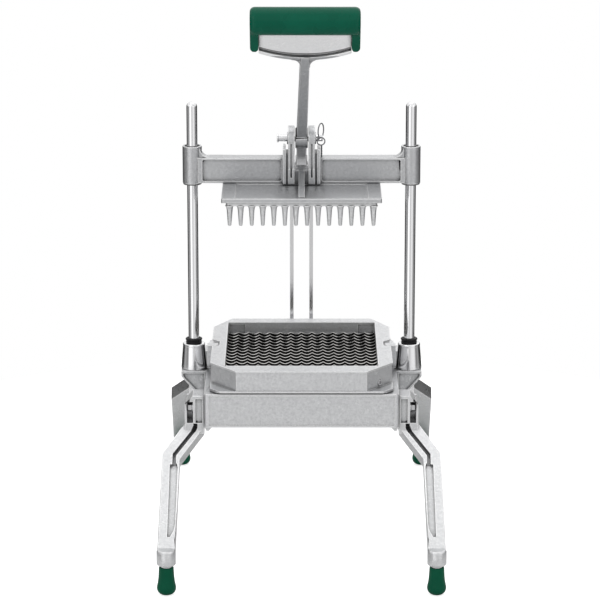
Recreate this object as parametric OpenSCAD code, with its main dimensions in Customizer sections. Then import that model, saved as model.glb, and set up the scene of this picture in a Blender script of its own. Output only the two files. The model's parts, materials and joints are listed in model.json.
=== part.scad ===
// Hand-operated vegetable dicer: a finger plate rides down two posts and pushes food through a blade grid.
// Millimetres, +Z up, front towards -Y, origin on the ground under the centre of the four feet.

/* [Feet and legs] */
// Half the foot spread across
foot_x = 114.7; // [110:0.5:120]
// Half the foot spread front to back
foot_y = 175.8; // [165:0.5:185]
// Height of a rubber foot
foot_h = 25; // [22:1:28]
// Largest radius of a rubber foot
foot_r = 8.2; // [7.6:0.1:9]
// Thickness of a leg across its slope
leg_t = 12; // [10:0.5:14]

/* [Base] */
// Half width of the base casting
base_x = 84.5; // [82:0.5:86]
// Half depth of the base casting
base_y = 86; // [84:0.5:88]
// Underside of the base casting
base_z0 = 119.5; // [118:0.5:121]
// Top of the base casting
base_z1 = 149.8; // [149:0.1:151]
// Wall of the base casting
base_wall = 6; // [5:0.5:8]

/* [Posts] */
// Half the spacing of the two posts
post_x = 95.8; // [95:0.1:96.5]
// Radius of a post
post_r = 4.75; // [4.5:0.05:5]
// Top of the posts
post_top = 390.5; // [385:0.5:396]

/* [Blades] */
// Cell size of the cut, centre to centre of the blades
cell = 9.525; // [9:0.025:9.6]
// Number of cells each way
cells = 14; // [14:1:14]
// Thickness of a blade
blade_t = 0.8; // [0.6:0.1:1]
// Top of the blades
blade_top = 165.5; // [164:0.5:166.5]
// Height of a blade
blade_h = 9; // [8:0.5:9.5]
// Depth of the scallops in the crosswise blades
scallop = 1.8; // [1.2:0.1:2.6]

/* [Blade frame] */
// Half width of the blade frame
frame_x = 79.7; // [79:0.1:80]
// Front edge of the blade frame
frame_front = 87.5; // [86:0.5:88]
// Rear edge of the blade frame
frame_rear = 83; // [82:0.5:84]
// Top of the blade frame
frame_z1 = 171; // [170:0.5:172]
// Half depth of the opening
open_y = 70; // [69.5:0.5:71]

/* [Crosshead] */
// Travel of the crosshead down the posts
travel = 140; // [136:0.5:140]
// Height of the lever pivot in the raised position
pivot_z = 358; // [356:0.5:360]
// Radius of the lever pivot pin
pivot_r = 3; // [2.8:0.1:3.2]
// Half thickness of the crosshead arms
arm_t = 7; // [6:0.5:8]
// Underside of the arms and top of the push plate
plate_z1 = 319; // [318.5:0.1:319.5]
// Length of a pusher finger
finger_h = 18; // [16:0.5:19]

/* [Lever] */
// Angle of the stem above the horizontal when raised
stem_angle = 56; // [54:0.5:58]
// Distance from the pivot to the middle of the grip
grip_u = 141.5; // [138:0.5:145]
// Radius of the grip bar
grip_r = 12; // [11:0.5:13]
// Half length of the grip
grip_x = 46.6; // [44:0.2:48]
// Sideways offset of the head of the lever
head_shift = 3; // [0:0.5:4]
// Length of the lever's tail, pivot to link pin
tail_a = 118; // [117:0.5:120]
// Angle of the tail below the horizontal when raised
tail_angle = 23.25; // [22:0.25:25]

/* [Links] */
// Distance of the lower link pin behind the posts
link_y = 97; // [96:0.5:99]
// Height of the lower link pin
link_z = 135; // [133:0.5:138]
// Middle of each link bar, from the centre plane
link_x = 8.9; // [8.7:0.1:9.2]
// Thickness of a link bar
link_t = 3.2; // [3:0.1:3.4]

/* [Hidden] */
$fn = 48;
e = 0.01;

// Span of the blade grid
span = cell * cells;
// Tail pin in the raised position
tail_y = tail_a * cos(tail_angle);
tail_z = pivot_z - tail_a * sin(tail_angle);
// Length of the links, pin to pin
link_len = norm([tail_y - link_y, tail_z - link_z]);
// Ledge inside the top of the base, and the mouth it leaves
ledge_t = 5;
mouth_x = 70;
mouth_y = 73;
dowel_r = 2;
// Top of the tongues that locate the blade frame
tongue_z = 170.4;
// Top of the post sockets
socket_top = 172.2;
// Slope of the legs, from the tab to the foot
leg_y0 = 69;
leg_z0 = 116;
leg_z1 = 30;
leg_slope = atan2(leg_z0 - leg_z1, foot_y - leg_y0);
leg_len = norm([leg_z0 - leg_z1, foot_y - leg_y0]);
// Bolt through each leg tab
bolt_y = 70;
bolt_z = 134;
bolt_r = 2.5;
// Sleeves of the crosshead
sleeve_r = 8.5;
sleeve_z0 = 318;
sleeve_z1 = 351.3;
bush_r = 6.5;
fit = 0.05;
// Ring clip, across the right end of the pivot pin
clip_x = 16.9;
clip_turn = -22;
arm_fillet = 8;
arm_fillet_x = 80.5;
// Clevis of the crosshead
ear_in = 6.1;
ear_out = 11.7;
hub_x = 5.4;
// Finger plate
plate_t = 4;
block_t = 3;
block_z0 = plate_z1 - plate_t - block_t;

// ---------- helpers ----------
module both() { children(); mirror([1, 0, 0]) children(); }
module four() { both() { children(); mirror([0, 1, 0]) children(); } }
// Cylinder along X, centred at x
module xcyl(x0, x1, r) { translate([x0, 0, 0]) rotate([0, 90, 0]) cylinder(r = r, h = x1 - x0); }
module box(x, y, z) {
    translate([x[0], y[0], z[0]]) cube([x[1] - x[0], y[1] - y[0], z[1] - z[0]]);
}
// Rounded rectangle as arcs and straight lines
module rounded(w, d, r) {
    square([w - 2 * r, d], center = true);
    square([w, d - 2 * r], center = true);
    for (x = [-1, 1], y = [-1, 1])
        translate([x * (w / 2 - r), y * (d / 2 - r)]) circle(r);
}
// Flat bar with round ends between two points in the YZ plane, thick in X
module yzbar(p, q, r, x0, x1) {
    ang = atan2(q[1] - p[1], q[0] - p[0]);
    len = norm(q - p);
    translate([x0, p[0], p[1]]) rotate([ang, 0, 0]) {
        translate([0, 0, -r]) cube([x1 - x0, len, 2 * r]);
        xcyl(0, x1 - x0, r);
        translate([0, len, 0]) xcyl(0, x1 - x0, r);
    }
}
function mir(p) = [for (v = p) [-v[0], v[1]]];

// ---------- base ----------
module base_shell() {
    difference() {
        translate([0, 0, base_z0]) linear_extrude(base_z1 - base_z0)
            rounded(2 * base_x, 2 * base_y, 3);
        translate([0, 0, base_z0 - 1]) linear_extrude(base_z1 - base_z0 - ledge_t + 1)
            rounded(2 * (base_x - base_wall), 2 * (base_y - base_wall), 4);
        // Mouth of the chute, inside the ledge that carries the blade frame
        translate([0, 0, base_z0]) linear_extrude(base_z1) rounded(2 * mouth_x, 2 * mouth_y, 4);
        // Panel sunk in the front and rear faces, leaving a rim
        for (s = [-1, 1])
            box([-base_x + 4, base_x - 4], s > 0 ? [base_y - 0.8, base_y + 1] : [-base_y - 1, -base_y + 0.8],
                [base_z0 + 2, base_z1 - 2]);
    }
}
// Lug on each side that carries a post, with its gusset
module post_lug() {
    translate([0, 12, 0]) rotate([90, 0, 0]) linear_extrude(24)
        polygon([[base_x - 1, base_z1 - 0.8], [107, base_z1 - 0.8], [107, base_z1 - 6],
                 [89.5, base_z0 + 4], [base_x - 1, base_z0 + 4]]);
}
module base_casting() {
    color("silver") difference() {
        union() {
            base_shell();
            both() difference() {
                post_lug();
                // Hollows in the front and rear faces of the lug
                for (s = [-1, 1]) translate([0, s > 0 ? 13 : -9.5, 0]) rotate([90, 0, 0]) linear_extrude(3.5)
                    polygon([[base_x + 2, base_z1 - 3.2], [105, base_z1 - 3.2], [105, base_z1 - 6],
                             [90.5, base_z0 + 8], [base_x + 2, base_z0 + 8]]);
            }
            // Tongue on each side that stands in the notch of the blade frame
            both() {
                box([80.4, 83.9], [-4.6, 4.6], [base_z1 - 1, tongue_z]);
                translate([78.2, 0, tongue_z - 3]) cylinder(r = 4.6, h = 3);
                box([78.2, 82], [-4.6, 4.6], [tongue_z - 3, tongue_z]);
            }
            // Small toes under the corners
            four() translate([0, 85, 0]) rotate([90, 0, 0]) linear_extrude(6)
                polygon([[77.5, base_z0 + 0.1], [84.3, base_z0 + 0.1], [83, base_z0 - 3.4], [80.5, base_z0 - 3.4]]);
        }
        both() translate([post_x, 0, base_z0]) cylinder(r = post_r + fit, h = 40);
        four() translate([0, bolt_y, bolt_z]) xcyl(base_x - 8, base_x + 2, bolt_r + 0.2);
        at_dowels() translate([0, 0, base_z1 - ledge_t - 1]) cylinder(r = dowel_r + 0.15, h = 20);
        // Holes for the rear bracket
        for (x = [-22, 22]) translate([x, base_y - 10, link_z]) rotate([-90, 0, 0]) cylinder(r = 2.2, h = 12);
    }
}
module rear_bracket() {
    y0 = base_y;
    color("silver") difference() {
        union() {
            translate([-30, y0 - 0.8, base_z0 + 4]) cube([60, 3.8, 23.5]);
            for (x = [-15.5, 12.5]) {
                yzbar([y0 + 2, link_z], [link_y, link_z], 8, x, x + 3);
            }
        }
        box([-31, 31], [y0 - 10, y0 - 0.8], [base_z0, base_z1]);
        translate([0, link_y, link_z]) xcyl(-20, 20, 3 + fit);
        for (x = [-22, 22]) translate([x, y0 - 10, link_z]) rotate([-90, 0, 0]) cylinder(r = 2.2, h = 22);
    }
}
module bracket_screws() {
    color("gray") for (x = [-22, 22]) translate([x, base_y + 3, link_z]) rotate([-90, 0, 0]) {
        translate([0, 0, -9]) cylinder(r = 2, h = 9 + e);
        difference() {
            cylinder(r = 4, h = 3);
            translate([0, 0, 1.2]) cylinder(r = 2, h = 3, $fn = 6);
        }
    }
}

// ---------- posts ----------
module post() {
    translate([post_x, 0, 0]) {
        translate([0, 0, base_z0 + 0.1]) cylinder(r = post_r, h = post_top - base_z0 - 0.1 - post_r);
        translate([0, 0, post_top - post_r]) intersection() {
            sphere(post_r);
            cylinder(r = post_r + 1, h = post_r + 1);
        }
    }
}
module post_right() { color("gainsboro") post(); }
module post_left() { color("gainsboro") mirror([1, 0, 0]) post(); }
// Cap nuts below the lugs
module post_nuts() {
    color("gray") both() translate([post_x, 0, base_z0 - 3]) difference() {
        cylinder(r = 7.5, h = 7, $fn = 6);
        translate([0, 0, 3]) cylinder(r = post_r + fit, h = 10);
    }
}
module socket() {
    z0 = base_z1 - 0.8;
    translate([post_x, 0, z0]) difference() {
        union() {
            cylinder(r1 = 11.6, r2 = 9.9, h = socket_top - z0 - 1);
            translate([0, 0, socket_top - z0 - 1]) cylinder(r1 = 9.9, r2 = 9, h = 1);
        }
        translate([0, 0, -1]) cylinder(r = post_r + fit, h = 40);
    }
}
module post_socket_right() { color("gainsboro") socket(); }
module post_socket_left() { color("gainsboro") mirror([1, 0, 0]) socket(); }
module bumper() {
    translate([post_x, 0, socket_top]) rotate_extrude()
        polygon([[post_r + 0.1, 0], [6.7, 0], [7.1, 0.5], [6.3, 1.4], [7.5, 2.8], [6.6, 4.1], [post_r + 0.1, 4.4]]);
}
module bumper_right() { color("black") bumper(); }
module bumper_left() { color("black") mirror([1, 0, 0]) bumper(); }

// ---------- legs, drawn for the rear right corner ----------
function leg_outline() = [
    [base_x + 0.3, -6], [101.5, -6], [101.5, 1], [120.5, 32], [122.2, leg_len - 4],
    [107.2, leg_len - 4], [105.4, 38.5], [base_x + 0.3, 5.5]
];
module leg() {
    difference() {
        union() {
            // Upright tab against the side of the base, its outer top corner cut off
            translate([0, 80, 0]) rotate([90, 0, 0]) linear_extrude(20)
                polygon([[base_x + 0.3, 112], [101.5, 112], [101.5, 139], [94.5, 146.5], [base_x + 0.3, 146.5]]);
            // Sloping channel
            translate([0, leg_y0, leg_z0]) rotate([-leg_slope, 0, 0])
                translate([0, 0, -leg_t / 2]) linear_extrude(leg_t) polygon(leg_outline());
            // Socket for the foot
            translate([foot_x, foot_y, foot_h]) rotate_extrude()
                polygon([[0, 1.4], [7.2, 1.4], [8.2, 2.4], [8.2, 13.6], [7.3, 15.1], [0, 15.1]]);
        }
        // Long groove, deep beside the bend and shallow below it
        translate([0, leg_y0, leg_z0]) rotate([-leg_slope, 0, 0]) {
            translate([0, 0, leg_t / 2 - 5]) linear_extrude(10)
                polygon([[94, 1], [94, 6], [111.6, 33], [111.6, 44], [108.4, 44], [108.4, 34.5], [90.6, 7.5], [90.6, 1]]);
            translate([0, 0, leg_t / 2 - 3]) linear_extrude(10)
                polygon([[113.6, 44], [114.2, leg_len - 20], [112, leg_len - 20], [109, leg_len - 26],
                         [107.8, leg_len - 34], [106.9, 47], [107.8, 43]]);
        }
        // Pocket around the bolt head, and a shallow one beside the base
        box([94.4, 99.6], [64, 81], [122, 141]);
        box([86.4, 92.2], [77.6, 81], [122, 143.6]);
        translate([0, bolt_y, bolt_z]) xcyl(base_x - 1, 100, bolt_r + 0.2);
        translate([foot_x, foot_y, foot_h]) cylinder(r = 3.05, h = 10);
    }
}
module leg_rear_right() { color("lightgray") leg(); }
module leg_rear_left() { color("lightgray") mirror([1, 0, 0]) leg(); }
module leg_front_right() { color("lightgray") mirror([0, 1, 0]) leg(); }
module leg_front_left() { color("lightgray") mirror([1, 0, 0]) mirror([0, 1, 0]) leg(); }
module leg_bolts() {
    color("gray") four() translate([0, bolt_y, bolt_z]) {
        xcyl(71, 95.6, bolt_r);
        translate([95.6, 0, 0]) rotate([0, 90, 0]) cylinder(r = 4.6, h = 3.4, $fn = 6);
    }
}
module leg_washers() {
    color("gray") four() translate([0, bolt_y, bolt_z]) difference() {
        xcyl(94.4, 95.6, 5.4);
        xcyl(94, 96, bolt_r + 0.1);
    }
}
module leg_nuts() {
    color("gray") four() translate([0, bolt_y, bolt_z]) difference() {
        translate([74.5, 0, 0]) rotate([0, 90, 0]) cylinder(r = 4.6, h = 4, $fn = 6);
        xcyl(74, 80, bolt_r + 0.05);
    }
}
module foot_studs() {
    color("gainsboro") four() translate([foot_x, foot_y, 0]) {
        translate([0, 0, 10]) cylinder(r = 3, h = foot_h);
        translate([0, 0, foot_h - 1.6]) cylinder(r = 5, h = 3);
    }
}
module foot() {
    translate([foot_x, foot_y, 0]) rotate_extrude() polygon([
        [0, 0], [3.2, 0], [5.6, 1.1], [7.4, 3], [foot_r, 5.6], [foot_r - 0.2, 7], [7.2, 11], [6.6, 16],
        [6.4, foot_h - 1], [6, foot_h - 0.2], [5.05, foot_h - 0.6], [5.05, foot_h - 1.6], [3.05, foot_h - 1.6],
        [3.05, 9.9], [0, 9.9]]);
}
module foot_rear_right() { color("seagreen") foot(); }
module foot_rear_left() { color("seagreen") mirror([1, 0, 0]) foot(); }
module foot_front_right() { color("seagreen") mirror([0, 1, 0]) foot(); }
module foot_front_left() { color("seagreen") mirror([1, 0, 0]) mirror([0, 1, 0]) foot(); }

// ---------- blade frame ----------
frame_z0 = base_z1 + 0.4;
function frame_half() = [
    [0, frame_rear], [63.7, frame_rear], [frame_x, 55], [frame_x, 14], [notch_x, 7], [notch_x, -5.6],
    [frame_x, -8], [frame_x, -60], [57, -frame_front], [0, -frame_front]
];
// The foot of the frame keeps fuller front corners, so a flange shows below each facet
function foot_half() = [
    [0, frame_rear], [63.7, frame_rear], [frame_x, 55], [frame_x, 14], [notch_x, 7], [notch_x, -5.6],
    [frame_x, -8], [frame_x, -77], [71, -frame_front], [0, -frame_front]
];
// Between foot and lip the walls stand back a little
function body_half() = [
    [0, frame_rear - 0.9], [63.3, frame_rear - 0.9], [frame_x - 0.9, 54.7], [frame_x - 0.9, 13.6], [notch_x, 7],
    [notch_x, -5.6], [frame_x - 0.9, -7.7], [frame_x - 0.9, -60.3], [56.6, 0.9 - frame_front], [0, 0.9 - frame_front]
];
lip_t = 1.5;
notch_x = 73;
foot_t = 2.6;
rod_r = 1.8;
function back(p) = [for (i = [len(p) - 2:-1:1]) p[i]];
module whole(half) { polygon(concat(half, mir(back(half)))); }
module blade_frame() {
    rod_z = blade_top - 5;
    color("silver") difference() {
        union() {
            translate([0, 0, frame_z1 - lip_t]) linear_extrude(lip_t) whole(frame_half());
            translate([0, 0, frame_z0 + foot_t - e]) linear_extrude(frame_z1 - frame_z0 - foot_t - lip_t + 2 * e)
                whole(body_half());
            translate([0, 0, frame_z0]) linear_extrude(foot_t) whole(foot_half());
        }
        // Opening for the food, and the slightly larger well that holds the blades
        box([-span / 2, span / 2], [-open_y, open_y], [frame_z0 - 1, frame_z1 + 1]);
        // Pockets in the rear and front walls beside the blade ends
        both() for (s = [-1, 1])
            box([51.5, span / 2 - 1.2], s > 0 ? [open_y - 1, open_y + 1.5] : [-open_y - 1.5, -open_y + 1],
                [blade_top - 5, frame_z1 - 2.2]);
        // Shadow groove under the front edge
        box([-frame_x - 1, frame_x + 1], [-frame_front - 1, -frame_front + 3], [frame_z0 - 1, frame_z0 + 0.9]);
        // Channels of the blade rods
        for (s = [-1, 1]) {
            translate([0, s * (open_y + 4), rod_z]) xcyl(-span / 2 + 4, span / 2 - 4, rod_r + fit);
            translate([s * (span / 2 + 4), 0, rod_z]) rotate([90, 0, 0])
                cylinder(r = rod_r + fit, h = span - 10, center = true);
        }
        at_dowels() translate([0, 0, frame_z0 - 1]) cylinder(r = dowel_r, h = 7);
        at_facet() translate([0, 0, -3]) cylinder(r = 2.5, h = 12);
    }
}
module blade_rods() {
    rod_z = blade_top - 5;
    color("gray") for (s = [-1, 1]) {
        translate([0, s * (open_y + 4), rod_z]) xcyl(-span / 2 + 4.1, span / 2 - 4.1, rod_r);
        translate([s * (span / 2 + 4), 0, rod_z]) rotate([90, 0, 0]) cylinder(r = rod_r, h = span - 10, center = true);
    }
}
// Set screw in the middle of the right front corner facet, +Z pointing out of the facet
module at_facet() {
    run = [frame_x - 57, frame_front - 60];
    translate([57 + run[0] / 2, -60 - run[1] / 2, frame_z0 + 6.6]) rotate([0, 90, -atan2(run[0], run[1])]) children();
}
module frame_screw() {
    color("dimgray") at_facet() difference() {
        translate([0, 0, -2.8]) cylinder(r = 2.49, h = 3);
        translate([0, 0, -1.6]) cylinder(r = 1.4, h = 3, $fn = 6);
    }
}
// Dowels under the blade frame that seat it on the base
module at_dowels() { for (s = [-1, 1]) translate([s * 74.5, s * 40, 0]) children(); }
module frame_dowels() {
    color("gray") at_dowels() translate([0, 0, base_z1 - ledge_t - 0.6]) cylinder(r = dowel_r, h = ledge_t + 6);
}
// The lengthwise blades sit lower, and the two layers interlock at this height
low_top = blade_top - 4.2;
cross_z = blade_top - 6.6;
// Plain blades along Y, slotted from above where the crosswise blades cross
module blades_lengthwise() {
    z0 = blade_top - blade_h - 5;
    w = blade_t / 2 + 0.05;
    top = [for (k = [-6:6]) each [[k * cell - w, low_top], [k * cell - w, cross_z],
                                  [k * cell + w, cross_z], [k * cell + w, low_top]]];
    outline = concat([[-open_y, z0], [-open_y, low_top]], top, [[open_y, low_top], [open_y, z0]]);
    color("dimgray") for (i = [-6:6])
        translate([i * cell - blade_t / 2, 0, 0]) rotate([90, 0, 90]) linear_extrude(blade_t) polygon(outline);
}
// Scalloped blades along X, slotted from below where the lengthwise blades cross
module blades_crosswise() {
    z0 = blade_top - blade_h;
    w = blade_t / 2 + 0.05;
    steps = 6;
    crest = [for (i = [cells * steps:-1:0])
        [-span / 2 + i * cell / steps, blade_top - scallop * sin(180 * (i % steps) / steps)]];
    notches = [for (k = [-6:6]) each [[k * cell - w, z0], [k * cell - w, cross_z],
                                      [k * cell + w, cross_z], [k * cell + w, z0]]];
    outline = concat([[-span / 2, z0]], notches, [[span / 2, z0]], crest);
    color("dimgray") for (j = [-6:6])
        translate([0, j * cell + blade_t / 2, 0]) rotate([90, 0, 0]) linear_extrude(blade_t) polygon(outline);
}

// ---------- crosshead ----------
module ear(x0, x1) {
    yzbar([0, plate_z1 + 11], [0, pivot_z], 11, x0, x1);
    translate([x0, -12, plate_z1]) cube([x1 - x0, 24, 14]);
}
module crosshead() {
    color("silver") difference() {
        union() {
            both() {
                translate([post_x, 0, sleeve_z0]) cylinder(r = sleeve_r, h = sleeve_z1 - sleeve_z0);
                difference() {
                    box([ear_out - 1, post_x - 5], [-arm_t, arm_t], [plate_z1, plate_z1 + 22.5]);
                    // Panels sunk in the front and rear of each arm
                    for (s = [-1, 1]) translate([0, s > 0 ? 12 : -arm_t + 3, 0]) rotate([90, 0, 0])
                        linear_extrude(s > 0 ? 12 - arm_t + 3 : 6)
                            translate([52.3, plate_z1 + 11.3]) rounded(68.6, 18.9, 1.5);
                }
                // Fillet where the top of the arm runs into the sleeve
                translate([0, 5.5, 0]) rotate([90, 0, 0]) linear_extrude(11) difference() {
                    translate([arm_fillet_x, plate_z1 + 22.4]) square([90.5 - arm_fillet_x, arm_fillet + 0.1]);
                    translate([arm_fillet_x, plate_z1 + 22.5 + arm_fillet]) circle(arm_fillet);
                }
                ear(ear_in, ear_out);
                // Rib beside each ear
                box([13.8, 16.4], [-12, 12], [plate_z1, plate_z1 + 31.5]);
                box([ear_out - 1, 14.5], [-9, 9], [plate_z1, plate_z1 + 27]);
            }
            // Web joining the ears below the hub
            box([-ear_in - 1, ear_in + 1], [-9, 3], [plate_z1, plate_z1 + 12]);
        }
        both() translate([post_x, 0, sleeve_z0 - 1]) cylinder(r = bush_r, h = 60);
        translate([0, 0, pivot_z]) xcyl(-30, 30, pivot_r + fit);
        // Slots in the fronts of the ears
        both() box([8.1, 9.7], [-13, -9.6], [plate_z1 + 6, plate_z1 + 36]);
        for (x = [-56, 56]) translate([x, 0, plate_z1 - 1]) cylinder(r = 2, h = 16);
    }
}
module bush() {
    translate([post_x, 0, 0]) difference() {
        union() {
            translate([0, 0, sleeve_z0]) cylinder(r = bush_r - 0.01, h = sleeve_z1 - sleeve_z0 - 0.6);
            translate([0, 0, sleeve_z0 - 1]) cylinder(r = 8, h = 1);
        }
        translate([0, 0, sleeve_z0 - 2]) cylinder(r = post_r + fit, h = 60);
    }
}
module bush_right() { color("dimgray") bush(); }
module bush_left() { color("dimgray") mirror([1, 0, 0]) bush(); }

// ---------- push plate and fingers ----------
module push_plate() {
    color("silver") difference() {
        union() {
            translate([0, 0, plate_z1 - plate_t]) linear_extrude(plate_t - 1.4) rounded(138, 133, 2);
            translate([0, 0, plate_z1 - 1.41]) linear_extrude(0.61) rounded(138, 133, 2);
            // Raised rim and end pads
            translate([0, 0, plate_z1 - 1.4]) linear_extrude(1.4) difference() {
                rounded(138, 133, 2);
                rounded(133, 128, 1.5);
            }
            for (s = [-1, 1]) box(s > 0 ? [57, 66.8] : [-66.8, -57], [-64, 64], [plate_z1 - 1.4, plate_z1]);
            box([-64, 64], [-9, 9], [plate_z1 - 1.4, plate_z1]);
            // Middle rib from the crosshead to the front edge
            translate([-2.6, 0, 0]) rotate([90, 0, 90]) linear_extrude(5.2)
                polygon([[-9, plate_z1 - 1.4], [-60, plate_z1 - 1.4], [-60, plate_z1], [-14, plate_z1 + 12], [-9, plate_z1 + 12]]);
        }
        for (x = [-56, 56]) translate([x, 0, plate_z1 - 10]) cylinder(r = 2.2, h = 20);
    }
}
module finger_block() {
    color("lightgray") translate([0, 0, block_z0]) difference() {
        linear_extrude(block_t) rounded(129.4, 129.4, 2);
        for (x = [-56, 56]) translate([x, 0, -1]) cylinder(r = 2.2, h = 10);
    }
}
module fingers() {
    color("lightgray") for (i = [0:cells - 1], j = [0:cells - 1])
        translate([(i - (cells - 1) / 2) * cell, (j - (cells - 1) / 2) * cell, block_z0 - finger_h])
            cylinder(r1 = 1.6, r2 = 3, h = finger_h);
}
module plate_screws() {
    color("gray") for (x = [-56, 56]) translate([x, 0, block_z0 + 0.4]) {
        cylinder(r = 1.95, h = 16);
    }
}

// ---------- pivot pin and clip ----------
module pivot_pin() {
    color("gainsboro") translate([0, 0, pivot_z]) difference() {
        union() {
            xcyl(-20, 18.6, pivot_r);
            xcyl(-21.5, -20 + e, 3.8);
        }
        translate([clip_x, 0, 0]) rotate([90, 0, clip_turn]) cylinder(r = 1.3, h = 12, center = true);
    }
}
module pin_washers() {
    color("gray") translate([0, 0, pivot_z]) both() difference() {
        xcyl(ear_out, ear_out + 1, 5.4);
        xcyl(ear_out - 1, ear_out + 2, pivot_r + 0.05);
    }
}
// Wire ring through the end of the pin, closed by a small eye and a twisted tail
module ring_clip() {
    wire = 0.55;
    ring_r = 6.5;
    eye_r = 3.4;
    color("gainsboro") translate([clip_x, 0, pivot_z]) {
        rotate([0, 0, clip_turn]) translate([0, 0, ring_r]) rotate([0, 90, 0])
            rotate_extrude() translate([ring_r, 0]) circle(wire, $fn = 16);
        translate([0.1, -3.9, -2.1]) rotate([90, 0, 0]) rotate_extrude() translate([eye_r, 0]) circle(wire, $fn = 16);
        translate([0.6, -3.9, -2.1 - eye_r - 11]) cylinder(r = 0.9, h = 11.2);
    }
}

// ---------- lever ----------
// Frame of the stem: +Z runs from the pivot to the grip
module stem_frame() { translate([0, 0, pivot_z]) rotate([90 - stem_angle, 0, 0]) children(); }
// Where the head starts along the stem, and the radius of its curved edge
head_u = 100.4;
arc_r = 98.4;
module head_plate(inset) {
    intersection() {
        translate([0, head_u + inset + arc_r]) circle(arc_r, $fn = 128);
        translate([-39.2, 90]) square([78.4, 40]);
    }
}
module lever() {
    color("silver") difference() {
        union() {
            translate([0, 0, pivot_z]) xcyl(-hub_x, hub_x, 9);
            yzbar([0, pivot_z], [tail_y, tail_z], 6, -4.5, 4.5);
            translate([0, tail_y, tail_z]) xcyl(-hub_x, hub_x, 7.5);
            stem_frame() {
                // Stem, a little narrower towards the head
                translate([0, 6, 0]) rotate([90, 0, 0]) linear_extrude(12)
                    polygon([[-4.6, 0], [4.6, 0], [head_shift + 4, head_u + 3], [head_shift - 4, head_u + 3]]);
                // Head: a plate with a raised rim along its curved edge
                difference() {
                    translate([head_shift, 4, 0]) rotate([90, 0, 0]) linear_extrude(8) head_plate(0);
                    // Groove along the foot of the rim, in the front face
                    translate([head_shift, -2, 0]) rotate([90, 0, 0]) linear_extrude(4) difference() {
                        head_plate(3.4);
                        head_plate(6.6);
                    }
                }
                translate([head_shift, -3.5, 0]) rotate([90, 0, 0]) linear_extrude(2) difference() {
                    head_plate(0);
                    head_plate(3.4);
                }
                // Swept shoulders where the stem meets the head
                for (s = [-1, 1]) translate([head_shift, 5, 0]) rotate([90, 0, 0]) linear_extrude(10) difference() {
                    polygon([[0, head_u - 6.5], [s * 4, head_u - 8.5], [s * 14, head_u + 2], [0, head_u + 2.5]]);
                    translate([s * 14, head_u - 9]) circle(10);
                }
            }
        }
        translate([0, 0, pivot_z]) xcyl(-10, 10, pivot_r + fit);
        translate([0, tail_y, tail_z]) xcyl(-10, 10, 3 + fit);
    }
}
module tail_pin() {
    color("gainsboro") translate([0, tail_y, tail_z]) xcyl(-hub_x - 0.8, hub_x + 0.8, 3);
}
module handle_grip() {
    round = 4;
    color("seagreen") stem_frame() translate([head_shift, 0, 0]) difference() {
        union() {
            // Bar with rounded ends
            translate([0, 0, grip_u]) rotate([0, 90, 0]) rotate_extrude() {
                square([grip_r - round, grip_x]);
                square([grip_r, grip_x - round]);
                translate([grip_r - round, grip_x - round]) circle(round);
                mirror([0, 1]) {
                    square([grip_r - round, grip_x]);
                    square([grip_r, grip_x - round]);
                    translate([grip_r - round, grip_x - round]) circle(round);
                }
            }
            // Side legs that wrap the edges of the head
            for (s = [-1, 1]) translate([s * (grip_x - 3.7), 8, 0]) rotate([90, 0, 0]) linear_extrude(16)
                union() {
                    translate([-3.7, 116]) square([7.4, grip_u - 116]);
                    translate([0, 116]) circle(3.7);
                }
        }
        translate([-39.2, -4, 90]) cube([78.4, 8, 40]);
        translate([-39.2, -20, 90]) cube([78.4, 40, grip_u - grip_r + 0.5 - 90]);
    }
}

// ---------- links ----------
module link_bar() {
    difference() {
        yzbar([link_y, link_z], [tail_y, tail_z], 5, link_x - link_t / 2, link_x + link_t / 2);
        translate([0, link_y, link_z]) xcyl(0, 20, 3 + fit);
        translate([0, tail_y, tail_z]) xcyl(0, 20, 3);
    }
}
module link_right() { color("gainsboro") link_bar(); }
module link_left() { color("gainsboro") mirror([1, 0, 0]) link_bar(); }
// Rivet ends in the tops of the links
module link_rivets() {
    color("gray") both() translate([0, tail_y, tail_z]) {
        xcyl(link_x - link_t / 2, link_x + link_t / 2 + 0.01, 3);
        xcyl(link_x + link_t / 2, link_x + link_t / 2 + 1.2, 4.6);
    }
}
module link_pin() { color("gainsboro") translate([0, link_y, link_z]) xcyl(-19, 19, 3); }
module link_spacer() {
    color("gray") translate([0, link_y, link_z]) difference() {
        xcyl(-link_x + link_t / 2 + 0.3, link_x - link_t / 2 - 0.3, 4.8);
        xcyl(-20, 20, 3 + fit);
    }
}
module link_retainers() {
    color("gray") both() translate([0, link_y, link_z]) difference() {
        xcyl(15.8, 17, 5);
        xcyl(15, 18, 3 + e);
    }
}

// ---------- assembly ----------
base_casting();
rear_bracket();
bracket_screws();
post_left();
post_right();
post_nuts();
post_socket_left();
post_socket_right();
bumper_left();
bumper_right();
leg_front_left();
leg_front_right();
leg_rear_left();
leg_rear_right();
leg_bolts();
leg_washers();
leg_nuts();
foot_studs();
foot_front_left();
foot_front_right();
foot_rear_left();
foot_rear_right();
blade_frame();
blades_lengthwise();
blades_crosswise();
blade_rods();
frame_screw();
frame_dowels();
crosshead();
bush_left();
bush_right();
push_plate();
finger_block();
fingers();
plate_screws();
pivot_pin();
pin_washers();
ring_clip();
lever();
tail_pin();
handle_grip();
link_left();
link_right();
link_rivets();
link_pin();
link_spacer();
link_retainers();
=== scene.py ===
# %% [markdown]
# # The looks of a vegetable dicer
# The real machine pushes food through a grid of blades. Its castings are tumbled
# aluminium, its posts and pins are polished stainless steel, its blades are thin dark
# steel, and its grip and feet are green. The exact sizes come from the CAD frame, so each
# piece here starts from a CAD node or from the box around one. The frame is loaded first,
# and it is kept.

# %% The frame
import json
import math
import bmesh
import bpy
from mathutils import Matrix, Vector


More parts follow.
